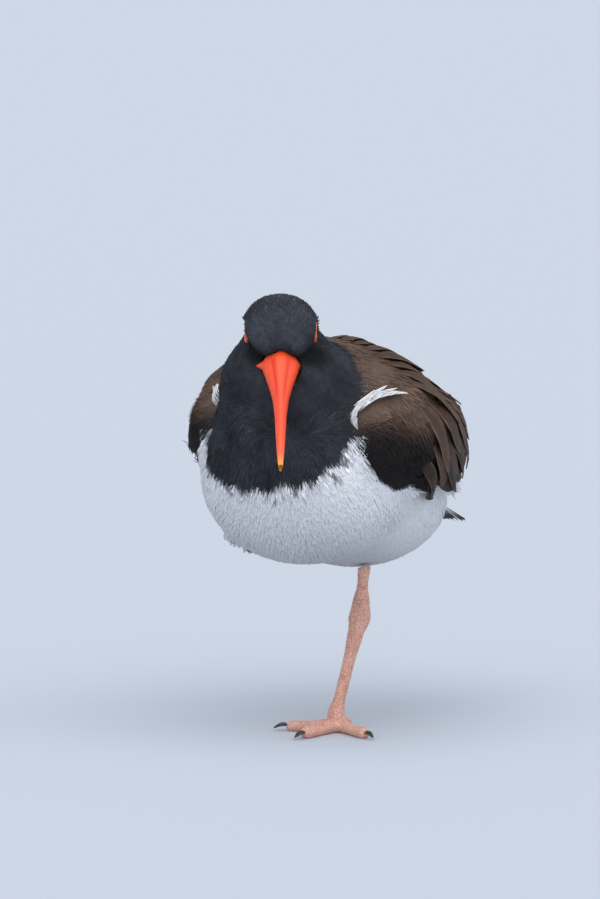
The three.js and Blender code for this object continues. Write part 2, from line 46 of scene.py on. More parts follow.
# Driving dimensions, in millimetres and degrees in the row frame
BILL_BASE = np.array([4.7, -77.0, 212.0])
BILL_LENGTH = 80
BILL_HIDDEN = 8  # of the bill behind the forehead's feathers
HEAD_YAW = 27.0
HEAD_DIP = 40.0
EYE_OUT = 11.6
EYE_BACK = 15.5
EYE_UP = 4.4
EYE_RADIUS = 6.3
EYE_RIM_OUT = 3.5
EYE_RING_OUT = 18.1
EYE_RING_RADIUS = 4.7
EYE_RING_THICK = 1.15
TAIL_ROOT = np.array([-4.0, 52.0, 140.0])
TAIL_LENGTH = 92.0
TAIL_DIP = -27.5
COVERTS_END = 66.0
BODY_MIDDLE = np.array([-4.0, -10.0, 152.0])
COAT_DEPTH = 1.6

# The line that angles round the body are measured from
MIDLINE = -4
AXIS_AT = -8
AXIS_HEIGHT = 150
AXIS_FALL = 0.3  # for each millimetre towards the tail

# Cells that surfaces are made even with, and the spacing of the small feathers
SWELL_CELL = 2.0
SKIN_CELL = 1.3
COVERT_CELL = 1.1
LEG_CELL = 0.6
CLAW_CELL = 0.3
FINE_SPACING = 1.0
SOFT_SPACING = 1.4

# Half the width of a feather's patch on the map that colours are baked with, and that map's margin
HALF_PATCH = 0.0015
MAP_EDGE = 0.01

# Camera of the photograph
CAMERA_AZIMUTH = 27.0
CAMERA_ELEVATION = 8.0
CAMERA_DISTANCE = 6.0
PICTURE_WIDTH = 600
PICTURE_HEIGHT = 899
FOOT_PIXEL = (338, 731)
PIXEL = 0.54 * MM
SENSOR_WIDTH = 36

HEAD_ANGLES = (math.radians(HEAD_DIP), 0, math.radians(HEAD_YAW))
HEAD_TURN = np.array(
    Matrix.Rotation(math.radians(HEAD_YAW), 3, "Z") @ Matrix.Rotation(math.radians(HEAD_DIP), 3, "X")
)
TAIL_TURN = np.array(Matrix.Rotation(math.radians(TAIL_DIP), 3, "X"))

rng = np.random.default_rng(20)


def on_head(x, y, z):
    """A place on the head, in millimetres from the bill's base: left, back and up."""
    return BILL_BASE + HEAD_TURN @ np.array([x, y, z], float)


def in_head(places):
    """Head-frame places of points in millimetres."""
    return (places - BILL_BASE) @ HEAD_TURN


def smooth_step(x, low, high):
    """Rises smoothly from 0 at low to 1 at high, or falls where high is the smaller."""
    s = np.clip((x - low) / (high - low), 0, 1)
    return s * s * (3 - 2 * s)


def hump(x, width):
    """1 where x is 0, falling away smoothly over a width."""
    return np.exp(-((x / width) ** 2))


def unit(v):
    """The vectors with a length of one."""
    return v / np.maximum(np.linalg.norm(v, axis=-1, keepdims=True), 1e-9)


def ripple(places, scale, seed):
    """A smooth wandering number from -1 to 1, from place alone, another for each seed."""
    p = places / scale + seed * 7.3
    x, y, z = p[..., 0], p[..., 1], p[..., 2]
    a = np.sin(x * 1.3 + 1.7 * np.sin(y * 0.9 + z * 0.4))
    b = np.sin(y * 1.7 + 1.3 * np.sin(z * 1.1 + x * 0.6) + 2.1)
    c = np.sin(z * 1.5 + 1.9 * np.sin(x * 0.8 + y * 0.5) + 4.2)
    return (a + b + c) / 3


# Markings, shared by the skin and the feathers, with painted light and shade on the wing, head and belly

COAL = np.array([0.0125, 0.0138, 0.0185])
COAL_HIGH = np.array([0.034, 0.037, 0.046])
UMBER = np.array([0.088, 0.054, 0.040])
UMBER_PALE = np.array([0.140, 0.092, 0.068])
# near-black brown for the folded wing's lower front: the bend's own darker brown, deepened with painted
# shade
WING_BEND_DARK_AND_SHADE = np.array([0.0085, 0.0065, 0.0065])
CHALK = np.array([0.66, 0.67, 0.70])

# Borders of the plumage, as (degrees round from the top, how far back in millimetres)
MANTLE_FRONT = ((0, -26), (24, -32), (40, -42), (55, -47), (66, -56), (90, -60), (112, -56))
BREAST_REAR = ((0, 10), (60, -30), (76, -52), (86, -61), (104, -67), (180, -67))
# The wing's lower edge, as (how far back, degrees round)
WING_EDGE = (
    (-62, 84), (-57, 99), (-50, 107), (-36, 109), (-24, 105), (4, 102), (30, 92), (62, 82), (100, 62),
)
BROWN_END = 74  # how far back the brown of the back goes
BREAST_PLANE = 222  # height less how far back, where the black breast meets the white
BREAST_SLANT = 0.08
PLANE_SCALE = 1.41  # of height less how far back, for each millimetre away from that plane
NECK_PLANE = 243  # height less how far back, where the neck meets the breast


def between(x, stations, k=1):
    """The stations' second numbers, or others, read at x among their first ones."""
    return np.interp(x, [s[0] for s in stations], [s[k] for s in stations])


def round_body(p):
    """Degrees round the body from its top, alike on both sides."""
    above = p[:, 2] - AXIS_HEIGHT + (p[:, 1] - AXIS_AT) * AXIS_FALL
    return np.degrees(np.arctan2(np.abs(p[:, 0] - MIDLINE), above))


def regions(p):
    """How far inside the brown and the black plumage places are, in about millimetres."""
    x, y, z = p[:, 0], p[:, 1], p[:, 2]
    angle = round_body(p)
    brown = np.minimum(y - between(angle, MANTLE_FRONT), between(y, WING_EDGE) - angle)
    brown = np.minimum(brown, BROWN_END - y)
    bib = (z - y - BREAST_PLANE - BREAST_SLANT * (x - MIDLINE)) / PLANE_SCALE
    black = np.minimum(bib, between(angle, BREAST_REAR) - y)
    return brown, black


def markings_and_painted_light(p):
    """Base colour of the plumage at places in millimetres.

    The borders are ragged, with a few blotches on the white below the breast. The folded wing is
    nearly black towards its lower front, its bend's own darker brown deepened by painted shade; the
    crown is lightened with painted light from above, the lores are darkened with painted shade under
    the brow, and the belly darkens beneath with painted shade.
    """
    brown, black = regions(p)
    angle = round_body(p)
    ragged = 2.2 * ripple(p, 3.0, 1) + 1.8 * ripple(p, 9.0, 2)
    blot = smooth_step(ripple(p, 2.6, 5) + ripple(p, 1.7, 6) * 0.5, 0.5, 0.62)
    blot = blot * smooth_step(black, -11, -3) * 0.75
    black = np.maximum(smooth_step(black + ragged, -1, 1), blot)
    brown = smooth_step(brown + 0.8 * ripple(p, 5.0, 4), -1.2, 1.2)
    # painted shade: the folded wing's lower front, where it turns down, is darkened towards near black over
    # the bend's own darker brown
    shade = smooth_step(angle, 64, 86) * smooth_step(p[:, 1], 20, -10)
    umber = UMBER + (UMBER_PALE - UMBER) * (0.5 + 0.5 * ripple(p * [1, 0.5, 0.5], 4.0, 8))[:, None]
    umber = umber + (WING_BEND_DARK_AND_SHADE - umber) * shade[:, None]
    coal = COAL + (COAL_HIGH - COAL) * (0.5 + 0.4 * ripple(p, 6.0, 7) + 0.25 * ripple(p, 1.6, 10))[:, None]
    head = in_head(p)
    # painted light and shade on the black head: the crown is lightened as if lit from above, and the lores
    # are darkened as if shaded under the brow
    crown = smooth_step(head[:, 2] - 0.2 * head[:, 1], 4, 15) * smooth_step(head[:, 1], 40, 26)
    lores = smooth_step(np.abs(head[:, 2] - 1), 8, 2) * smooth_step(np.abs(head[:, 1] - 3), 11, 4)
    coal = coal * (1 + 0.4 * crown - 0.8 * lores * (1 - crown))[:, None]
    # painted shade: the white belly is darkened towards the bottom, where less light reaches it
    under = smooth_step(angle, 118, 165) * smooth_step(p[:, 1], -95, -45)
    chalk = CHALK * (1 - 0.3 * under + 0.02 * ripple(p, 9.0, 9))[:, None]
    rest = chalk + (coal - chalk) * black[:, None]
    return rest + (umber - rest) * brown[:, None]


# Surfaces made from the solids


def scene_object(name, data):
    """A new object in the scene, at the origin."""
    made = bpy.data.objects.new(name, data)
    bpy.context.scene.collection.objects.link(made)
    return made


def mesh_from(bm, name):
    """The bmesh as a mesh, with the bmesh freed."""
    mesh = bpy.data.meshes.new(name)
    bm.to_mesh(mesh)
    bm.free()
    return mesh


def merged_copy(names):
    """One mesh holding the named solids, with their corners merged."""
    bm = bmesh.new()
    for name in names:
        bm.from_mesh(nodes[name].data)
    bmesh.ops.remove_doubles(bm, verts=bm.verts, dist=1e-7)
    return mesh_from(bm, "merged")


def remeshed(mesh, cell, smoothing):
    """The mesh as one even skin with cells of so many millimetres, its largest body alone, smoothed."""
    helper = scene_object("helper", mesh)
    cells = helper.modifiers.new("cells", "REMESH")
    cells.mode = "VOXEL"
    cells.voxel_size = cell * MM
    made = bpy.data.meshes.new_from_object(helper.evaluated_get(bpy.context.evaluated_depsgraph_get()))
    bpy.data.objects.remove(helper)
    bm = bmesh.new()
    bm.from_mesh(made)
    keep_largest(bm)
    for _ in range(smoothing):
        bmesh.ops.smooth_vert(
            bm, verts=bm.verts, factor=0.5, use_axis_x=True, use_axis_y=True, use_axis_z=True
        )
    bm.normal_update()
    bm.to_mesh(made)
    bm.free()
    return made


def keep_largest(bm):
    """Deletes every separate body but the one with most corners."""
    seen = set()
    bodies = []
    for start in bm.verts:
        if start in seen:
            continue
        seen.add(start)
        stack = [start]
        body = []
        while stack:
            v = stack.pop()
            body.append(v)
            for e in v.link_edges:
                w = e.other_vert(v)
                if w not in seen:
                    seen.add(w)
                    stack.append(w)
        bodies.append(body)
    bodies.sort(key=len)
    bmesh.ops.delete(bm, geom=[v for body in bodies[:-1] for v in body], context="VERTS")


def places_and_normals(mesh):
    """Corner places in millimetres and their outward normals."""
    count = len(mesh.vertices)
    co = np.zeros(count * 3)
    mesh.vertices.foreach_get("co", co)
    normal = np.zeros(count * 3)
    mesh.vertex_normals.foreach_get("vector", normal)
    return co.reshape(-1, 3) / MM, normal.reshape(-1, 3)


def move_corners(mesh, places):
    """Puts a mesh's corners at places in millimetres."""
    mesh.vertices.foreach_set("co", (places * MM).ravel())
    mesh.update()


def tree_of(mesh):
    """A search tree over the mesh's faces, in millimetres."""
    corners = [v.co / MM for v in mesh.vertices]
    return BVHTree.FromPolygons(corners, [tuple(f.vertices) for f in mesh.polygons])


FINE_FLESH = ["head", "neck", "breast", "belly"]
FLESH = [*FINE_FLESH, "back"]
WINGS = ["wing_left", "wing_right"]
COVERTS = ["tail_coverts_upper", "tail_coverts_under"]
TAIL = ["tail", *COVERTS]
SWELL_SMOOTHING = 40

# The wings and back as one even swell, joined to the flesh that keeps its finer shape
swell = remeshed(merged_copy(FLESH + WINGS), SWELL_CELL, SWELL_SMOOTHING)
both = bmesh.new()
both.from_mesh(merged_copy(FINE_FLESH))
both.from_mesh(swell)
body_form = mesh_from(both, "body")
skin_mesh = remeshed(body_form.copy(), SKIN_CELL, smoothing=8)
lie_tree = tree_of(remeshed(merged_copy(FLESH + WINGS + TAIL), SWELL_CELL, SWELL_SMOOTHING))


PAST_BODY = 6  # how far off the axis feathers lie where they reach past the body


def on_coat(y, angle):
    """Place and normal on the body's outside: so far back, at an angle round from the top to the left."""
    start = Vector((MIDLINE, y, AXIS_HEIGHT - (y - AXIS_AT) * AXIS_FALL))
    way = Vector((math.sin(math.radians(angle)), 0, math.cos(math.radians(angle))))
    well_outside = 160
    place, normal, _, _ = lie_tree.ray_cast(start + way * well_outside, -way)
    if place is None:
        return np.array(start + way * PAST_BODY), np.array(way)
    return np.array(place), np.array(normal)


# Materials


def new_material(name, roughness, **sockets):
    """A material and its shader, with any other sockets set by name."""
    material = bpy.data.materials.new(name)
    material.use_nodes = True
    shader = material.node_tree.nodes["Principled BSDF"]
    shader.inputs["Roughness"].default_value = roughness
    for socket, value in sockets.items():
        shader.inputs[socket.replace("_", " ")].default_value = value
    return material, shader


def add_node(material, kind, **values):
    """A node with its inputs or its own settings given by name."""
    made = material.node_tree.nodes.new(kind)
    for key, value in values.items():
        if key in made.inputs.keys():
            made.inputs[key].default_value = value
        else:
            setattr(made, key, value)
    return made


def link(material, out, into):
    material.node_tree.links.new(out, into)


def coordinates(material, scale=(1, 1, 1), turn=(0, 0, 0), centre=(0, 0, 0)):
    """Object coordinates about a centre, turned and scaled."""
    where = add_node(material, "ShaderNodeTexCoord")
    move = add_node(material, "ShaderNodeMapping", vector_type="TEXTURE")
    move.inputs["Location"].default_value = centre
    move.inputs["Rotation"].default_value = turn
    move.inputs["Scale"].default_value = tuple(1 / s for s in scale)
    link(material, where.outputs["Object"], move.inputs["Vector"])
    return move.outputs["Vector"]


def axes(material, vector):
    """The vector's three numbers, each by its letter."""
    made = add_node(material, "ShaderNodeSeparateXYZ")
    link(material, vector, made.inputs["Vector"])
    return made.outputs


def share_from(material, value, low, high):
    """How far a value is on its way from low to high."""
    made = add_node(material, "ShaderNodeMapRange")
    made.inputs["From Min"].default_value = low
    made.inputs["From Max"].default_value = high
    link(material, value, made.inputs["Value"])
    return made.outputs["Result"]


def computed(material, operation, first, second=None):
    """One sum on a pattern, with another pattern or a number where it takes two."""
    made = add_node(material, "ShaderNodeMath", operation=operation)
    link(material, first, made.inputs[0])
    if isinstance(second, float):
        made.inputs[1].default_value = second
    elif second is not None:
        link(material, second, made.inputs[1])
    return made.outputs[0]


def bumped(material, shader, height, strength, distance):
    """Gives the shader a relief from a pattern's strength."""
    bump = add_node(material, "ShaderNodeBump", Strength=strength, Distance=distance)
    link(material, height, bump.inputs["Height"])
    link(material, bump.outputs["Normal"], shader.inputs["Normal"])


def noise(material, where, scale, detail):
    """A cloudy pattern's strength, from 0 to 1."""
    made = add_node(material, "ShaderNodeTexNoise", Scale=scale, Detail=detail)
    link(material, where, made.inputs["Vector"])
    return made.outputs["Fac"]


def multiplied(material, first, second, share=1.0):
    """The first colour darkened or lightened by the second."""
    mix = add_node(material, "ShaderNodeMix", data_type="RGBA", blend_type="MULTIPLY")
    mix.inputs["Factor"].default_value = share
    link(material, first, mix.inputs[6])
    link(material, second, mix.inputs[7])
    return mix.outputs[2]


def ramp(material, factor, stops):
    """Colours along a factor, as (where, colour)."""
    made = add_node(material, "ShaderNodeValToRGB")
    elements = made.color_ramp.elements
    while len(elements) < len(stops):
        elements.new(0.5)
    for element, (at, colour) in zip(elements, stops):
        element.position = at
        element.color = (*colour, 1)
    link(material, factor, made.inputs["Fac"])
    return made.outputs["Color"]


def plumage(name, roughness, grain):
    """Feathers and the skin under them, coloured by the markings that each piece carries."""
    material, shader = new_material(name, roughness, Specular_IOR_Level=0.16)
    tint = add_node(material, "ShaderNodeAttribute", attribute_name="tint")
    speckle = noise(material, coordinates(material), grain, 3.0)
    shade = ramp(material, speckle, [(0.3, (0.86, 0.86, 0.86)), (0.7, (1.1, 1.1, 1.1))])
    link(material, multiplied(material, tint.outputs["Color"], shade), shader.inputs["Base Color"])
    bumped(material, shader, speckle, strength=0.2, distance=0.2 * MM)
    return material


BARB_WAVES = 9000.0  # radians in a metre of vane
STREAKS = (1900, 110, 1)  # in a metre across and along the vane


def vane_plumage(name, roughness):
    """Large feathers: fine barbs run out from the shaft on each vane, with streaks along it."""
    material = plumage(name, roughness, 900.0)
    shader = material.node_tree.nodes["Principled BSDF"]
    vane_map = add_node(material, "ShaderNodeUVMap", uv_map="Vane")
    place = axes(material, vane_map.outputs["UV"])
    out = computed(material, "ABSOLUTE", place["X"])
    slant = computed(material, "SUBTRACT", place["Y"], out)
    barbs = computed(material, "SINE", computed(material, "MULTIPLY", slant, BARB_WAVES))
    bumped(material, shader, barbs, strength=0.12, distance=0.2 * MM)
    spread = add_node(material, "ShaderNodeMapping", vector_type="POINT")
    spread.inputs["Scale"].default_value = STREAKS
    link(material, vane_map.outputs["UV"], spread.inputs["Vector"])
    streak = noise(material, spread.outputs["Vector"], 1.0, 3.0)
    shade = ramp(material, streak, [(0.32, (0.52, 0.52, 0.52)), (0.7, (1.65, 1.6, 1.55))])
    plain = shader.inputs["Base Color"].links[0].from_socket
    link(material, multiplied(material, plain, shade), shader.inputs["Base Color"])
    return material


BILL_STREAKS = (900, 60, 900)  # in a metre across, along and up the bill


def bill_horn():
    """Orange-red horn, paler at the tip, with fine streaks along it and painted shade in its grooves."""
    material, shader = new_material(
        "bill horn", 0.42, Coat_Weight=0.08, Coat_Roughness=0.25,
        Subsurface_Weight=0.12, Subsurface_Radius=(0.004, 0.001, 0.0005),
    )
    centre = tuple(BILL_BASE * MM)
    along = coordinates(material, turn=HEAD_ANGLES, centre=centre)
    reach = share_from(material, axes(material, along)["Y"], BILL_HIDDEN * MM, -BILL_LENGTH * MM)
    colour = ramp(
        material,
        reach,
        [
            (0.0, (0.92, 0.070, 0.012)),
            (0.2, (0.96, 0.085, 0.014)),
            (0.6, (0.95, 0.070, 0.018)),
            (0.86, (0.92, 0.095, 0.020)),
            (0.95, (0.90, 0.30, 0.03)),
            (0.995, (0.88, 0.48, 0.08)),
        ],
    )
    streak = noise(material, coordinates(material, BILL_STREAKS, HEAD_ANGLES, centre), 1.0, 4.0)
    shade = ramp(material, streak, [(0.3, (0.86, 0.8, 0.8)), (0.7, (1.08, 1.15, 1.2))])
    # painted shade: the bill is darkened and reddened in its nostril grooves and along the mouth line
    groove = add_node(material, "ShaderNodeAttribute", attribute_name="groove")
    red = ramp(material, groove.outputs["Fac"], [(0.0, (1, 1, 1)), (1.0, (0.8, 0.35, 0.3))])
    streaked = multiplied(material, colour, shade, 0.8)
    link(material, multiplied(material, streaked, red), shader.inputs["Base Color"])
    bumped(material, shader, streak, strength=0.25, distance=0.4 * MM)
    return material


def leg_skin():
    """Pink bare skin under a net of small scales."""
    material, shader = new_material(
        "leg skin", 0.5, Coat_Weight=0.1, Coat_Roughness=0.4,
        Subsurface_Weight=0.2, Subsurface_Radius=(0.003, 0.001, 0.0006),
    )
    scales = add_node(material, "ShaderNodeTexVoronoi", feature="DISTANCE_TO_EDGE", Scale=520.0)
    link(material, coordinates(material), scales.inputs["Vector"])
    blush = noise(material, coordinates(material), 90.0, 3.0)
    skin = ramp(material, blush, [(0.32, (0.62, 0.31, 0.23)), (0.68, (0.78, 0.46, 0.35))])
    crease = ramp(material, scales.outputs["Distance"], [(0.0, (0.62, 0.52, 0.5)), (0.12, (1, 1, 1))])
    link(material, multiplied(material, skin, crease, 0.9), shader.inputs["Base Color"])
    flat = ramp(material, scales.outputs["Distance"], [(0.0, (0, 0, 0)), (0.25, (1, 1, 1))])
    bumped(material, shader, flat, strength=0.5, distance=0.4 * MM)
    return material


def horn(name, dark, light, scale):
    """A slightly glossy skin or horn, mottled from dark to light."""
    material, shader = new_material(name, 0.35, Coat_Weight=0.2)
    grain = noise(material, coordinates(material), scale, 4.0)
    link(material, ramp(material, grain, [(0.3, dark), (0.75, light)]), shader.inputs["Base Color"])
    bumped(material, shader, grain, strength=0.2, distance=0.3 * MM)
    return material


def dressed(name, mesh, material, replaced=(), smooth=True):
    """A finished piece of the bird, shaded smooth or in facets."""
    piece = scene_object(name, mesh)
    mesh.polygons.foreach_set("use_smooth", np.full(len(mesh.polygons), smooth))
    mesh.materials.clear()
    mesh.materials.append(material)
    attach(piece, "root")
    if replaced:
        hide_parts(*replaced)


def set_tint(mesh, colours):
    """Gives each corner of the mesh its plumage colour."""
    layer = mesh.attributes.new("tint", "FLOAT_COLOR", "POINT")
    rgba = np.ones((len(mesh.vertices), 4))
    rgba[:, :3] = colours
    layer.data.foreach_set("color", rgba.ravel())


# Feathers: one bmesh form each, repeated over the body as joined arrays


def quarter_turn(bm, verts, axis, way=1):
    """Turns corners a quarter round an axis through the origin."""
    turn = Matrix.Rotation(way * math.pi / 2, 3, axis)
    bmesh.ops.rotate(bm, verts=verts, cent=(0, 0, 0), matrix=turn)


def form_arrays(bm):
    """A form's corners and faces as arrays, the faces as triangles and with the form freed."""
    bmesh.ops.triangulate(bm, faces=bm.faces)
    bm.verts.ensure_lookup_table()
    corners = np.array([v.co for v in bm.verts])
    faces = np.array([[v.index for v in f.verts] for f in bm.faces])
    bm.free()
    return corners, faces


def tuft_form():
    """A slender three-sided blade, one long and one across, parted into lengths where it bends."""
    bm = bmesh.new()
    bmesh.ops.create_cone(bm, cap_ends=True, segments=3, radius1=1, radius2=0, depth=1)
    quarter_turn(bm, bm.verts, "X", -1)
    bmesh.ops.translate(bm, verts=bm.verts, vec=(0, 0.5, 0))
    bmesh.ops.remove_doubles(bm, verts=bm.verts, dist=1e-4)
    for cut in (0.4, 0.75):
        geometry = bm.verts[:] + bm.edges[:] + bm.faces[:]
        bmesh.ops.bisect_plane(bm, geom=geometry, plane_co=(0, cut, 0), plane_no=(0, 1, 0))
    bmesh.ops.recalc_face_normals(bm, faces=bm.faces)
    return form_arrays(bm)


def vane_form(across, along):
    """A thin closed leaf, two wide and one long, whose edges are walls."""
    bm = bmesh.new()
    bmesh.ops.create_grid(bm, x_segments=across, y_segments=along, size=1)
    bmesh.ops.scale(bm, verts=bm.verts, vec=(1, 0.5, 1))
    bmesh.ops.translate(bm, verts=bm.verts, vec=(0, 0.5, 0))
    bmesh.ops.solidify(bm, geom=bm.faces[:], thickness=1.0)
    bmesh.ops.recalc_face_normals(bm, faces=bm.faces)
    return form_arrays(bm)


def skin_map(places):
    """Where places fall on the skin's unwrap: turns about the body's long axis, from breast to tail."""
    out = unit(places - BODY_MIDDLE)
    turned = np.arctan2(out[:, 0], out[:, 2]) / (2 * math.pi) + 0.5
    back = np.arccos(np.clip(-out[:, 1], -1, 1)) / math.pi
    return MAP_EDGE + (1 - 2 * MAP_EDGE) * np.stack([turned, back], axis=1)


def joined(name, places, faces, colours, roots, local, material, replaced=(), smooth=True):
    """One piece from many like forms: places are [form, corner, xyz] in millimetres.

    Local is each corner's place on its own feather, across and along, for the feather's finish.
    """
    count, corners = places.shape[:2]
    mesh = bpy.data.meshes.new(name)
    every_face = (faces[None] + (np.arange(count) * corners)[:, None, None]).reshape(-1, 3)
    mesh.vertices.add(count * corners)
    mesh.vertices.foreach_set("co", (places * MM).ravel())
    mesh.loops.add(len(every_face) * 3)
    mesh.loops.foreach_set("vertex_index", every_face.ravel())
    mesh.polygons.add(len(every_face))
    mesh.polygons.foreach_set("loop_start", np.arange(len(every_face)) * 3)
    mesh.update(calc_edges=True)
    set_tint(mesh, colours.reshape(-1, 3))
    vane = mesh.uv_layers.new(name="Vane")
    at_loop = local.reshape(-1, 2)[every_face.ravel()] * MM
    vane.data.foreach_set("uv", at_loop.ravel())
    bake = mesh.uv_layers.new(name="OFBake")
    patch = np.clip(local / (np.abs(local).max(axis=1, keepdims=True) + 1e-9), -1, 1) * HALF_PATCH
    patch = (skin_map(roots)[:, None] + patch).reshape(-1, 2)[every_face.ravel()]
    bake.data.foreach_set("uv", patch.ravel())
    mesh.uv_layers.active = vane
    dressed(name, mesh, material, replaced, smooth)


TUFT = tuft_form()
TUFT_THICK = 0.12
TUFT_SUNK = 0.25
PALE_SHARE = 0.1  # of the tufts stand out paler
ROOT_JITTER = 0.42  # of the spacing


def lie(places, normals):
    """The way the feathers lie: back over the head, down the breast, and back along the body."""
    head = in_head(places)
    near = smooth_step(head[:, 2] * 0.75 - head[:, 1] * 0.25, -22, -8) * smooth_step(head[:, 1], 62, 38)
    over_head = (HEAD_TURN @ np.array([0.0, 1.0, -0.22]))[None] * near[:, None]
    rear = smooth_step(places[:, 1], -50, -5)
    out = (places[:, 0] - BILL_BASE[0]) / 55 * (1 - rear) + (places[:, 0] - MIDLINE) / 160 * rear
    spread = np.stack([out, 0.1 + 0.52 * rear, -1 + 0.28 * rear], axis=1)
    spread += smooth_step(places[:, 1], 30, 90)[:, None] * np.array([0, 0.4, 0.25])
    flow = over_head + spread * (1 - near[:, None])
    flow = flow - normals * (flow * normals).sum(1, keepdims=True)
    return unit(flow)


def tufts(name, roots, normals, length, width, rise, bend, material, vary, swing=0.2, tint=None):
    """Lays slender feathers on the skin at the roots, with the body's markings or a tint of their own.

    They rise off the skin towards their tips and bend back to it, and are broadest near the middle.
    """
    count = len(roots)
    form, faces = TUFT
    way = lie(roots, normals)
    side = unit(np.cross(way, normals))
    turn = rng.normal(0, swing, count)[:, None]
    way, side = unit(way + side * turn), unit(side - way * turn)
    long = length * rng.uniform(0.75, 1.2, count)
    wide = width * rng.uniform(0.8, 1.2, count)
    along = form[:, 1]
    broad = 0.55 + 1.5 * along * (1 - along) - 0.25 * along
    body = np.maximum(1 - along, 1e-6)
    across = form[:, 0] / body * broad * np.where(along > 0.99, 0, 1)
    thick = form[:, 2] / body * np.where(along > 0.99, 0, 1)
    lift = rise * rng.uniform(0.6, 1.5, count)
    reach = long[:, None] * along[None]
    aside = wide[:, None] * 0.5 * across[None]
    height = lift[:, None] * along[None] - bend * reach**2 + thick[None] * TUFT_THICK - TUFT_SUNK
    places = (
        roots[:, None]
        + way[:, None] * reach[..., None]
        + side[:, None] * aside[..., None]
        + normals[:, None] * height[..., None]
    )
    base = markings_and_painted_light(roots + way * long[:, None] * 0.4) if tint is None else tint
    tint = base * rng.uniform(1 - vary, 1 + vary, count)[:, None]
    tint = tint * np.where(rng.random(count) < PALE_SHARE, 1 + vary * 1.6, 1)[:, None]
    colours = tint[:, None] * (1 + 0.3 * (along - 0.6) * min(1, vary * 8))[None, :, None]
    local = np.stack([aside, reach], axis=2)
    joined(name, places, faces, colours, roots, local, material, smooth=False)


def root_places(spacing, seed):
    """Root places all over the body, on the skin, spaced about evenly."""
    even = remeshed(body_form.copy(), spacing, smoothing=6)
    places, _ = places_and_normals(even)
    shift = np.random.default_rng(seed).uniform(-ROOT_JITTER, ROOT_JITTER, places.shape)
    found = [skin_tree.find_nearest(Vector(p)) for p in places + shift * spacing]
    roots = np.array([f[0] for f in found])
    normals = np.array([f[1] for f in found])
    bpy.data.meshes.remove(even)
    return roots, normals


STATIONS = 9  # along a large feather
TAIL_BORDER = (0.75, 0.80)  # of a tail feather's length, where its white turns dark
VANE_CAMBER = 0.5
VANE_THICK = 0.25
SHAFT_HIGH = 0.15


def over_body(f):
    """A feather's line and normals along the body, from its root to its tip."""
    (root_back, root_angle), (tip_back, tip_angle) = f["root"], f["tip"]
    line = np.zeros((STATIONS, 3))
    out = np.zeros((STATIONS, 3))
    for i, s in enumerate(np.linspace(0, 1, STATIONS)):
        angle = root_angle + (tip_angle - root_angle) * s + f.get("bow", 0) * math.sin(math.pi * s)
        line[i], out[i] = on_coat(root_back + (tip_back - root_back) * s, angle)
    for _ in range(4):
        line[1:-1] = (line[:-2] + 2 * line[1:-1] + line[2:]) / 4
        out[1:-1] = (out[:-2] + 2 * out[1:-1] + out[2:]) / 4
    return line, unit(out)


def over_tail(f):
    """A tail feather's line and normals in the fan."""
    share = np.linspace(0, 1, STATIONS)[:, None]
    swing = math.radians(f["swing"])
    line = np.array([math.sin(swing), math.cos(swing), 0]) * share * f["long"]
    line = line + np.array([0, 0, f["level"]])
    out = np.repeat([[math.sin(swing * 2.5), 0, 1.0]], STATIONS, axis=0)
    return TAIL_ROOT + line @ TAIL_TURN.T, unit(out @ TAIL_TURN.T)


def vane_rows(name, feathers, cells, material, replaced=(), lay=over_body):
    """Large feathers, each along its own line of places.

    A feather's width, its height over the coat at the middle, how far its tip lifts and its root is
    sunk, and its tilt are in millimetres. A higher point makes a blunter tip.
    """
    form, faces = vane_form(*cells)
    across, along, level = form[:, 0], form[:, 1], form[:, 2]
    shares = np.linspace(0, 1, STATIONS)

    def at_corners(values):
        return np.stack([np.interp(along, shares, values[:, k]) for k in range(3)], axis=1)

    every_place = []
    every_colour = []
    every_local = []
    for f in feathers:
        line, out = lay(f)
        normal = unit(at_corners(out))
        way = unit(at_corners(np.gradient(line, shares, axis=0)))
        side = unit(np.cross(way, normal))
        long = np.linalg.norm(np.diff(line, axis=0), axis=1).sum()
        taper = np.sqrt(np.maximum(1 - along ** f["point"], 0.02))
        wide = f["width"] / 2 * (0.35 + 0.65 * smooth_step(along, 0, 0.35)) * taper
        sunk = f.get("sunk", 1.6) * (1 - smooth_step(along, 0, 0.45))
        rise = f["height"] * smooth_step(along, 0, 0.4) + f.get("lift", 0.5) * along**2 - sunk
        camber = VANE_CAMBER * (1 - across**2)
        shaft = SHAFT_HIGH * hump(across, 0.09) * (1 - 0.6 * along)
        top = rise + camber + shaft + f.get("tilt", 0.3) * across + (level - 0.5) * VANE_THICK
        place = at_corners(line) + side * (across * wide)[:, None] + normal * top[:, None]
        edge = smooth_step(np.maximum(np.abs(across), along**3), 0.7, 1.0)
        by_shaft = 1 - 0.3 * hump(across, 0.12)
        base = f["colour"] * by_shaft[:, None] * (0.72 + 0.34 * along)[:, None]
        if "far" in f:
            base = base + (f["far"] - base) * smooth_step(along, *TAIL_BORDER)[:, None]
        colour = base + (f["fringe"] - base) * (edge * f.get("edge", 0.7))[:, None]
        every_place.append(place)
        every_colour.append(colour)
        every_local.append(np.stack([across * wide, along * long], axis=1))
    places = np.array(every_place)
    colours = np.array(every_colour)
    local = np.array(every_local)
    roots = places[:, np.argmin(along)]
    joined(name, places, faces, colours, roots, local, material, replaced)


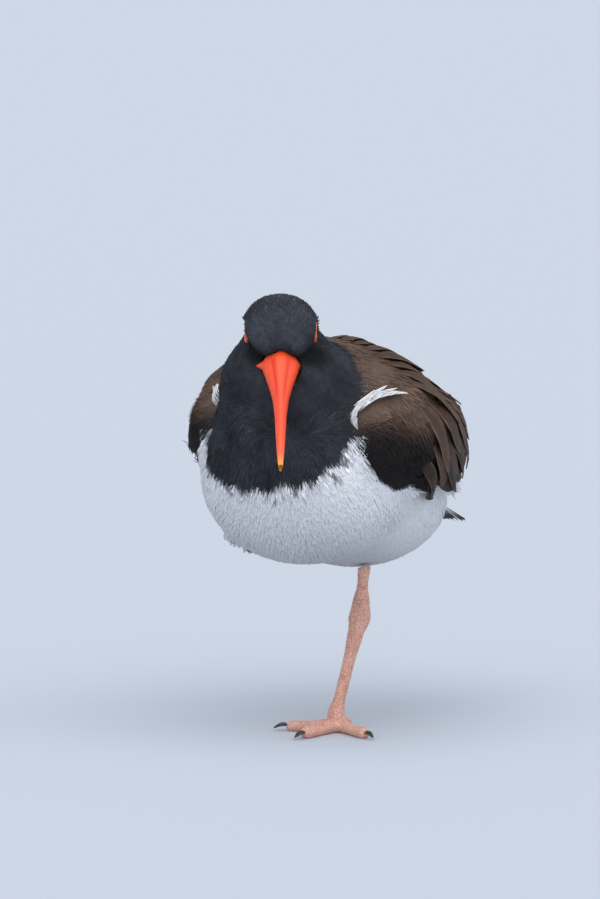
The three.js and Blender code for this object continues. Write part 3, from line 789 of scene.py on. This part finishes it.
def row(count, first, last, side, width, height, colour, fringe, ragged=1.5, **more):
    """Feathers spread evenly from the first to the last, each [how far back, angle] at root and tip."""
    made = []
    for i in range(count):
        s = i / (count - 1)
        root = [first[0][k] + (last[0][k] - first[0][k]) * s for k in range(2)]
        tip = [first[1][k] + (last[1][k] - first[1][k]) * s for k in range(2)]
        tip[0] += rng.uniform(-ragged, ragged)
        tip[1] += rng.uniform(-1, 1)
        shade = rng.uniform(0.82, 1.15)
        made.append(
            {
                "root": (root[0], root[1] * side),
                "tip": (tip[0], tip[1] * side),
                "width": width * rng.uniform(0.92, 1.08),
                "height": height + rng.uniform(-0.15, 0.15),
                "colour": colour * shade,
                "fringe": fringe * rng.uniform(0.85, 1.1),
                **more,
            }
        )
    return made


# Skin and small feathers


def even_normals(roots, normals):
    """Normals that pass over the steps between the folded wing's tiers."""
    found = np.array([lie_tree.find_nearest(Vector(p))[1] for p in roots])
    return unit(normals * 0.15 + found)


down = plumage("plumage over skin", roughness=0.9, grain=700.0)
sleek = plumage("small feathers", roughness=0.7, grain=900.0)
vaned = vane_plumage("vaned feathers", roughness=0.65)

# The face, in millimetres in the head's frame
BROW_OUT = 2.3
BROW_UP = 6  # above the line from the bill to the eye
LORE_IN = 2.8
LORE_DOWN = 3.4
EYE_BED = 14.4  # from the head's middle
EYE_CLEAR = 5.4  # round the eye, where no feathers grow
BILL_OPENING = 4.2  # how far the feathers draw back round the bill
HEAD_BACK = 40  # where the head's feathers end
HEAD_UNDER = -16.5


def by_eye(head):
    """How far head-frame places are from the line through both eyes, cut short above by the brow."""
    up = head[:, 2] - EYE_UP - 0.22 * (head[:, 1] - EYE_BACK)
    return np.hypot(head[:, 1] - EYE_BACK, np.where(up > 0, 1.7 * up, up))


def shape_face(places):
    """Draws the brows out, sinks the lores and eyes, and opens the feathers round the bill."""
    head = in_head(places)
    x, y, z = np.abs(head[:, 0]), head[:, 1], head[:, 2]
    eye_line = 4.6 - 0.13 * y
    face = smooth_step(x, 3.5, 8) * smooth_step(y, 27, 17) * smooth_step(x, 40, 30)
    brow = face * hump(z - eye_line - BROW_UP, 3.4)
    lore = face * hump(z - eye_line + LORE_DOWN, 3.0)
    away = unit(np.stack([head[:, 0], y - 22, z * 0.3], axis=1))
    head = head + away * (BROW_OUT * brow - LORE_IN * lore)[:, None]
    eye = 1 - smooth_step(by_eye(head), 4.6, 7.6)
    deep = np.maximum(np.abs(head[:, 0]) - EYE_BED, 0) * eye * (x < 30)
    head[:, 0] -= np.sign(head[:, 0]) * deep
    opening = np.exp(-((head[:, 0] / 6.2) ** 2) - ((head[:, 2] - 4) / 7) ** 2)
    head[:, 1] += BILL_OPENING * opening * smooth_step(head[:, 1], 14, 4) * (np.abs(head[:, 2]) < 30)
    return BILL_BASE + head @ HEAD_TURN.T


skin_places, skin_normals = places_and_normals(skin_mesh)
skin_places = shape_face(skin_places)
move_corners(skin_mesh, skin_places - skin_normals * COAT_DEPTH)
set_tint(skin_mesh, markings_and_painted_light(skin_places))
dressed("skin", skin_mesh, down, FLESH)
skin_tree = tree_of(skin_mesh)


def clear_of_face(roots):
    """Whether each root is clear of the eyes and the bill."""
    head = in_head(roots)
    eye = (by_eye(head) < EYE_CLEAR) & (np.abs(head[:, 0]) > 10)
    bill = (head[:, 1] < 1) & (np.abs(head[:, 0]) < 8) & (head[:, 2] > -8) & (head[:, 2] < 3)
    return ~(eye | bill)


HEAD, BLACK, WHITE_DOWN, BROWN = range(4)
BLACK_OVERLAP = 3  # how far the breast's fine feathers go on over the white


def zone(roots):
    """Which plumage each root carries."""
    head = in_head(roots)
    on_head_now = (head[:, 1] < HEAD_BACK) & (head[:, 2] * 0.92 - head[:, 1] * 0.16 > HEAD_UNDER)
    brown, black = regions(roots)
    kind = np.where(black > -BLACK_OVERLAP, BLACK, WHITE_DOWN)
    kind = np.where(brown > 0, BROWN, kind)
    return np.where(on_head_now, HEAD, kind)


foot_tree = tree_of(merged_copy([n for n in nodes if n.startswith("claw_right") or n == "foot_right"]))

# Head, neck and breast, where the finest feathers shorten towards the bill
fine_roots, fine_normals = root_places(FINE_SPACING, seed=3)
fine_even = even_normals(fine_roots, fine_normals)
fine_agree = smooth_step((fine_normals * fine_even).sum(1), 0.5, 0.9)
fine_normals = unit(fine_normals + fine_even)
kinds = zone(fine_roots)
clear = clear_of_face(fine_roots)
head_now = (kinds == HEAD) & clear
face_share = smooth_step(in_head(fine_roots[head_now])[:, 1], 0, 26) * fine_agree[head_now]
tufts(
    "feathers_head", fine_roots[head_now], fine_normals[head_now],
    length=1.9 + 2.2 * face_share, width=0.6 + 0.2 * face_share, rise=0.22 + 0.3 * face_share, bend=0.02,
    material=sleek, vary=0.42,
)
front_now = (kinds == BLACK) & clear
upper = fine_roots[:, 2] - fine_roots[:, 1] > NECK_PLANE
for label, chosen in (("neck", front_now & upper), ("breast", front_now & ~upper)):
    tufts(
        "feathers_" + label, fine_roots[chosen], fine_normals[chosen],
        length=7.5, width=0.85, rise=0.8, bend=0.008,
        material=sleek, swing=0.16, vary=0.3,
    )

# Belly and back, where longer feathers close over the tucked foot
soft_roots, soft_normals = root_places(SOFT_SPACING, seed=4)
even = even_normals(soft_roots, soft_normals)
agree = smooth_step((soft_normals * even).sum(1), 0.3, 0.8)
kinds = zone(soft_roots)
for label, chosen in (("left", soft_roots[:, 0] >= MIDLINE), ("right", soft_roots[:, 0] < MIDLINE)):
    white = chosen & (kinds == WHITE_DOWN)
    to_foot = np.array([foot_tree.find_nearest(Vector(p))[3] for p in soft_roots[white]])
    over_foot = smooth_step(to_foot, 13, 3)
    tufts(
        "feathers_belly_" + label, soft_roots[white], even[white],
        length=3 + 6 * agree[white] + 5 * over_foot, width=2.0 + 0.6 * over_foot,
        rise=0.45 + 5.5 * over_foot, bend=0.003,
        material=sleek, swing=0.1, vary=0.03,
    )
    brown = chosen & (kinds == BROWN)
    inside = smooth_step(regions(soft_roots[brown])[0], 0, 9) * agree[brown]
    tufts(
        "feathers_soft_" + label, soft_roots[brown], even[brown],
        length=2.5 + 5.5 * inside, width=1.3, rise=0.5, bend=0.004,
        material=sleek, swing=0.1, vary=0.24,
    )

# Large feathers of the back, wings and tail

DARK = np.array([0.046, 0.029, 0.022])
MID = np.array([0.086, 0.052, 0.036])
FRINGE = np.array([0.175, 0.118, 0.080])
BLACKISH = np.array([0.016, 0.012, 0.011])
WHITE = np.array([0.76, 0.77, 0.80])
VANE_CELLS = (7, 9)  # across and along a large feather
SIDES = ((1, "left"), (-1, "right"))


def wing_feathers(side):
    """The folded wing: its long dark tips, three tiers up its side and a few loose feathers over them."""
    made = row(
        5, ([62, 60], [112, 32]), ([60, 42], [130, 14]), side,
        width=12, height=0.2, colour=DARK * 0.6, fringe=DARK, point=3, bow=3,
    )
    made += row(
        7, ([-14, 97], [8, 105]), ([46, 76], [92, 56]), side,
        width=10, height=0.5, colour=DARK * 0.8, fringe=FRINGE * 0.6, point=3,
    )
    made += row(
        7, ([-16, 82], [6, 97]), ([46, 62], [100, 46]), side,
        width=11, height=0.9, colour=MID * 0.8, fringe=FRINGE * 0.8, point=3,
    )
    made += row(
        6, ([-22, 66], [2, 91]), ([34, 48], [88, 40]), side,
        width=12, height=1.3, colour=MID * 0.9, fringe=FRINGE, point=3.4,
    )
    made += row(
        5, ([-32, 88], [4, 106]), ([26, 56], [78, 69]), side,
        width=9.5, height=1.4, colour=DARK * 0.8, fringe=FRINGE * 0.7,
        ragged=0, point=2.2, lift=1.8, sunk=5.5,
    )
    return made


SCAPULAR_TIERS = 4
TIER_STEP = 12
SCAPULAR_LENGTH = 34


def scapular_feathers(side):
    """Tiers over the back, each starting in front of the one before and lying over it."""
    made = []
    for i in range(SCAPULAR_TIERS):
        back = 24 - i * TIER_STEP
        top = ([back, 4], [back + SCAPULAR_LENGTH, 5])
        bottom = ([back - 10, 54 - i], [back - 10 + SCAPULAR_LENGTH, 78 - i * 3])
        made += row(
            8, top, bottom, side,
            width=11 - i * 0.5, height=1.5 + i * 0.1, colour=MID, fringe=FRINGE * 0.9, point=3.4, edge=0.55,
        )
    return made


for side, label in SIDES:
    wing = wing_feathers(side)
    vane_rows("feathers_wing_" + label, wing, VANE_CELLS, vaned, ["wing_" + label])
mantle = scapular_feathers(1) + scapular_feathers(-1)
vane_rows("feathers_mantle", mantle, VANE_CELLS, vaned)

# White feathers where the shoulder meets the bend of the wing, as (how far back, degrees round)
TUFT_SPINE = ((-58, 78), (-57.5, 72), (-55, 66), (-51, 61), (-45, 57.5), (-39, 57.5), (-33, 61.5))


def shoulder_feathers(side):
    """A sheaf of slender white feathers along the spine, and a short length of it on the right side."""
    made = []
    count = 60 if side > 0 else 26
    first, reach = (0, 0.86) if side > 0 else (0.3, 0.25)
    ends = np.linspace(0, 1, len(TUFT_SPINE))
    for i in range(count):
        s = first + i / (count - 1) * reach
        e = s + 0.14 + rng.uniform(0, 0.05)
        root = [np.interp(s, ends, [t[k] for t in TUFT_SPINE]) for k in range(2)]
        tip = [np.interp(e, ends, [t[k] for t in TUFT_SPINE]) for k in range(2)]
        broad = 0.2 + 0.8 * float(smooth_step(s, 0.1, 0.55)) * math.sin(math.pi * min(s + 0.12, 1)) ** 0.7
        across = rng.uniform(-1, 1) * 2.2 * broad
        tip_back = tip[0] + rng.uniform(-0.5, 1.6)
        tip_angle = tip[1] + across + rng.uniform(-1.4, 2.2) * broad
        made.append(
            {
                "root": (root[0] + across * 0.5, (root[1] + across * 0.7) * side),
                "tip": (tip_back, tip_angle * side),
                "width": 0.9 + 1.1 * broad,
                "height": 1.6 + 0.6 * broad,
                "lift": 1.0,
                "sunk": 1.2,
                "point": 2,
                "colour": WHITE,
                "fringe": WHITE,
            }
        )
    return made


for side, label in SIDES:
    sheaf = shoulder_feathers(side)
    solid = "shoulder_tuft_" + label
    vane_rows("feathers_shoulder_" + label, sheaf, (4, 6), vaned, [solid])

TAIL_COUNT = 12


def tail_feathers():
    """A fan of white feathers with dark ends, the outer ones shorter and lower."""
    made = []
    for i in range(TAIL_COUNT):
        place = i - (TAIL_COUNT - 1) / 2
        made.append(
            {
                "swing": place * 2.4,
                "long": TAIL_LENGTH - abs(place) * 1.5 + rng.uniform(-0.6, 0.6),
                "level": -abs(place) * 0.42,
                "width": 17,
                "height": 0.4,
                "lift": 0,
                "sunk": 0,
                "tilt": 0.25 * math.copysign(1, -place),
                "point": 5,
                "colour": WHITE,
                "far": BLACKISH * 1.4,
                "fringe": DARK,
                "edge": 0.2,
            }
        )
    return made


vane_rows("feathers_tail", tail_feathers(), VANE_CELLS, vaned, ["tail"], over_tail)

# The tail's coverts, each a skin of its own under short white feathers
COVERT_DEPTH = 0.2
tail_way = TAIL_TURN @ np.array([0.0, 1.0, 0.0])
for name in COVERTS:
    covert_mesh = remeshed(merged_copy([name]), COVERT_CELL, smoothing=7)
    places, normals = places_and_normals(covert_mesh)
    move_corners(covert_mesh, places - normals * COVERT_DEPTH)
    set_tint(covert_mesh, np.repeat(WHITE[None], len(places), axis=0))
    dressed(name + "_skin", covert_mesh, down, [name])
    blunt = (normals @ tail_way > 0.35) | ((places - TAIL_ROOT) @ tail_way > COVERTS_END)
    picked = np.flatnonzero(~blunt & (rng.random(len(places)) < 0.6))
    tufts(
        "feathers_" + name, places[picked], normals[picked], length=6, width=1.7, rise=0.25, bend=0.004,
        material=sleek, swing=0.08, vary=0.03, tint=WHITE,
    )

# Bare parts

# The bill, as (forward from the forehead, half width, height above the mouth line, depth below it)
BILL_STATIONS = (
    (-BILL_HIDDEN, 6.5, 7, 4), (-1, 9.0, 9.2, 4.6), (2, 9.9, 9.2, 4.6), (5, 9.7, 9, 4.5),
    (9, 8.6, 8.5, 4.2), (15.5, 6.9, 7.9, 4.0), (21, 5.6, 7.4, 3.8), (28, 4.3, 6.9, 3.6),
    (40, 3.2, 5.9, 3.6), (53, 2.7, 4.9, 3.7), (65.5, 2.1, 3.6, 3.0), (73, 1.5, 2.4, 2.2),
    (78, 1.0, 1.5, 1.5), (BILL_LENGTH, 0.3, 0.4, 0.4),
)
GAPE = -3.6  # height of the mouth line at the forehead
GAPE_FLARE = 3.6
BILL_RINGS = 90
BILL_SIDES = 48
BILL_SAMPLES = 177


def bill_form():
    """The whole bill as one closed form: an arched upper half over a shallower keel.

    It is grooved by the nostrils and along the mouth line, and flares at the corners of the mouth.
    """
    bm = bmesh.new()
    bmesh.ops.create_grid(bm, x_segments=BILL_SIDES, y_segments=BILL_RINGS, size=0.5)
    bm.verts.ensure_lookup_table()
    share = np.array([v.co[:2] for v in bm.verts]) + 0.5
    f = -BILL_HIDDEN + (BILL_HIDDEN + BILL_LENGTH) * share[:, 1]
    turn = 2 * math.pi * share[:, 0]
    fine = np.linspace(-BILL_HIDDEN, BILL_LENGTH, BILL_SAMPLES)
    profile = []
    for k in (1, 2, 3):
        padded = np.pad(between(fine, BILL_STATIONS, k), 2, mode="edge")
        profile.append(np.interp(f, fine, np.convolve(padded, np.ones(5) / 5, mode="valid")))
    end = np.where((share[:, 1] < 1e-4) | (share[:, 1] > 1 - 1e-4), 0, 1)
    gape = GAPE * (1 - smooth_step(f, 0, 70))
    c, s = np.cos(turn), np.sin(turn)
    tall = np.where(s > 0, profile[1] + (GAPE - gape) * 0.6, profile[2])
    groove = hump(np.abs(c) - 0.5, 0.13) * (s > 0)
    groove = groove * smooth_step(f, 1, 6) * smooth_step(f, 40, 22)
    groove += 0.6 * hump(s, 0.1) * smooth_step(f, 6, 14) * smooth_step(f, 74, 60)
    shrink = end * (1 - 0.11 * groove)
    flange = GAPE_FLARE * np.exp(-(((f - 1.8) / 1.5) ** 2) - (s / 0.22) ** 2)
    places = np.stack([(profile[0] + flange) * c * shrink, -f, gape + tall * s * shrink], axis=1)
    places = BILL_BASE + places @ HEAD_TURN.T
    # the grooves' depth, kept on the corners for the painted shade in the bill horn's grooves
    depth = bm.verts.layers.float.new("groove")
    for v, place, sunk in zip(bm.verts, places, groove):
        v.co = place * MM
        v[depth] = sunk
    bmesh.ops.remove_doubles(bm, verts=bm.verts, dist=1e-6)
    bmesh.ops.recalc_face_normals(bm, faces=bm.faces)
    return bm


bill_material = bill_horn()
for part, away in (("bill_upper", 1), ("bill_lower", -1)):
    bm = bill_form()
    level = Vector(HEAD_TURN @ np.array([0, 0.045, 1.0])) * away
    at = Vector(on_head(0, 0, GAPE + 0.03 * away) * MM)
    geometry = bm.verts[:] + bm.edges[:] + bm.faces[:]
    bmesh.ops.bisect_plane(bm, geom=geometry, plane_co=at, plane_no=level, clear_inner=True)
    bmesh.ops.holes_fill(bm, edges=bm.edges)
    dressed(part + "_horn", mesh_from(bm, part), bill_material, [part])

skin_of_leg = leg_skin()
LEGS = {
    "left": ["leg_left_shank", "leg_left_tarsus", "foot_left"],
    "right": ["leg_right_tarsus", "foot_right"],
}
for label, parts in LEGS.items():
    leg_mesh = remeshed(merged_copy(parts), LEG_CELL, smoothing=5)
    dressed("leg_" + label, leg_mesh, skin_of_leg, parts)

claw_horn = horn("claw horn", (0.012, 0.011, 0.011), (0.05, 0.04, 0.035), 300.0)
for name in [n for n in nodes if n.startswith("claw")]:
    claw_mesh = remeshed(merged_copy([name]), CLAW_CELL, smoothing=3)
    dressed(name + "_horn", claw_mesh, claw_horn, [name])


def head_matrix(place):
    """Turns a form as the head is turned and sets it at a place in millimetres."""
    turn = Matrix(HEAD_TURN.tolist()).to_4x4()
    return Matrix.Translation(Vector(place) * MM) @ turn


def eye(side, label):
    """A glossy ball, its colours outwards along its axis: dark rim, yellow iris and black pupil."""
    place = on_head(side * EYE_OUT, EYE_BACK, EYE_UP)
    bm = bmesh.new()
    bmesh.ops.create_uvsphere(bm, u_segments=48, v_segments=32, radius=EYE_RADIUS * MM)
    quarter_turn(bm, bm.verts, "Y")
    bm.transform(head_matrix(place))
    material, shader = new_material("eye " + label, 0.08, Coat_Weight=1.0, Coat_Roughness=0.02)
    where = coordinates(material, turn=HEAD_ANGLES, centre=tuple(place * MM))
    rim, front = side * EYE_RIM_OUT * MM, side * EYE_RADIUS * MM
    iris = ramp(
        material,
        share_from(material, axes(material, where)["X"], rim, front),
        [
            (0.0, (0.02, 0.015, 0.01)),
            (0.3, (0.75, 0.33, 0.02)),
            (0.6, (0.85, 0.5, 0.03)),
            (0.76, (0.8, 0.42, 0.02)),
            (0.79, (0.004, 0.004, 0.004)),
        ],
    )
    link(material, iris, shader.inputs["Base Color"])
    dressed("eyeball_" + label, mesh_from(bm, "eye"), material, ["eye_" + label])


def eye_ring(side, label, material):
    """The fleshy ring round the eye, slightly beaded."""
    bm = bmesh.new()
    section = bmesh.ops.create_circle(bm, segments=10, radius=EYE_RING_THICK * MM)["verts"]
    quarter_turn(bm, section, "X")
    bmesh.ops.translate(bm, verts=section, vec=(EYE_RING_RADIUS * MM, 0, 0))
    outline = bm.edges[:] + bm.verts[:]
    bmesh.ops.spin(
        bm, geom=outline, cent=(0, 0, 0), axis=(0, 0, 1), angle=2 * math.pi, steps=48, use_merge=True
    )
    bmesh.ops.remove_doubles(bm, verts=bm.verts, dist=1e-6)
    bmesh.ops.recalc_face_normals(bm, faces=bm.faces)
    for v in bm.verts:
        round_eye = math.atan2(v.co.y, v.co.x)
        v.co *= 1 + 0.012 * math.sin(round_eye * 13) + 0.01 * math.sin(round_eye * 7 + 1)
    quarter_turn(bm, bm.verts, "Y")
    bm.transform(head_matrix(on_head(side * EYE_RING_OUT, EYE_BACK, EYE_UP)))
    dressed("eye_ring_" + label, mesh_from(bm, "eye ring"), material, ["eyelid_" + label])


ring_material = horn("eye ring skin", (0.62, 0.07, 0.02), (0.85, 0.16, 0.04), 500.0)
for side, label in SIDES:
    eye(side, label)
    eye_ring(side, label, ring_material)

# Floor, light and camera

FLOOR_HALF = 8  # metres


def outward(azimuth, elevation):
    """The way from the bird to a lamp or the camera, in degrees round from its breast and up."""
    a, e = math.radians(azimuth), math.radians(elevation)
    return Vector((math.sin(a) * math.cos(e), -math.cos(a) * math.cos(e), math.sin(e)))


def stage():
    """A pale painted floor."""
    bm = bmesh.new()
    bmesh.ops.create_grid(bm, x_segments=1, y_segments=1, size=FLOOR_HALF)
    mesh = mesh_from(bm, "floor")
    floor = scene_object("floor", mesh)
    material, shader = new_material("floor paint", 0.8)
    mottle = add_node(material, "ShaderNodeTexNoise", Scale=2.0)
    grey = ramp(material, mottle.outputs["Fac"], [(0, (0.51, 0.545, 0.60)), (1, (0.53, 0.565, 0.62))])
    link(material, grey, shader.inputs["Base Color"])
    mesh.materials.append(material)


def soft_light(name, azimuth, elevation, strength, spread, colour):
    """A broad even light, as from a cloudy sky."""
    lamp = bpy.data.lights.new(name, "SUN")
    lamp.energy = strength
    lamp.angle = math.radians(spread)
    lamp.color = colour
    light = scene_object(name, lamp)
    light.rotation_euler = outward(azimuth, elevation).to_track_quat("Z", "Y").to_euler()


def camera():
    """The photograph's framing, with the standing foot at its own pixel."""
    back = outward(CAMERA_AZIMUTH, CAMERA_ELEVATION)
    a = math.radians(CAMERA_AZIMUTH)
    right = Vector((math.cos(a), math.sin(a), 0))
    up = back.cross(right)
    across = (PICTURE_WIDTH / 2 - FOOT_PIXEL[0]) * PIXEL
    above = (FOOT_PIXEL[1] - PICTURE_HEIGHT / 2) * PIXEL
    data = bpy.data.cameras.new("camera")
    data.sensor_width = SENSOR_WIDTH
    data.lens = data.sensor_width * CAMERA_DISTANCE / (PICTURE_HEIGHT * PIXEL)
    data.clip_start = 0.1
    data.clip_end = 60
    view = scene_object("camera", data)
    view.location = right * across + up * above + back * CAMERA_DISTANCE
    view.rotation_euler = Matrix((right, up, back)).transposed().to_euler()
    bpy.context.scene.camera = view


stage()
soft_light("sky light", azimuth=30, elevation=68, strength=1.5, spread=70, colour=(0.97, 0.99, 1.0))
soft_light("side light", azimuth=95, elevation=35, strength=0.5, spread=50, colour=(1.0, 0.99, 0.96))
soft_light("front light", azimuth=15, elevation=24, strength=1.0, spread=80, colour=(0.98, 0.99, 1.0))
world = bpy.data.worlds.new("sky")
bpy.context.scene.world = world
world.use_nodes = True
sky = world.node_tree.nodes["Background"]
sky.inputs["Color"].default_value = (0.60, 0.65, 0.74, 1)
sky.inputs["Strength"].default_value = 0.85
bpy.context.scene.view_settings.view_transform = "Standard"
camera()
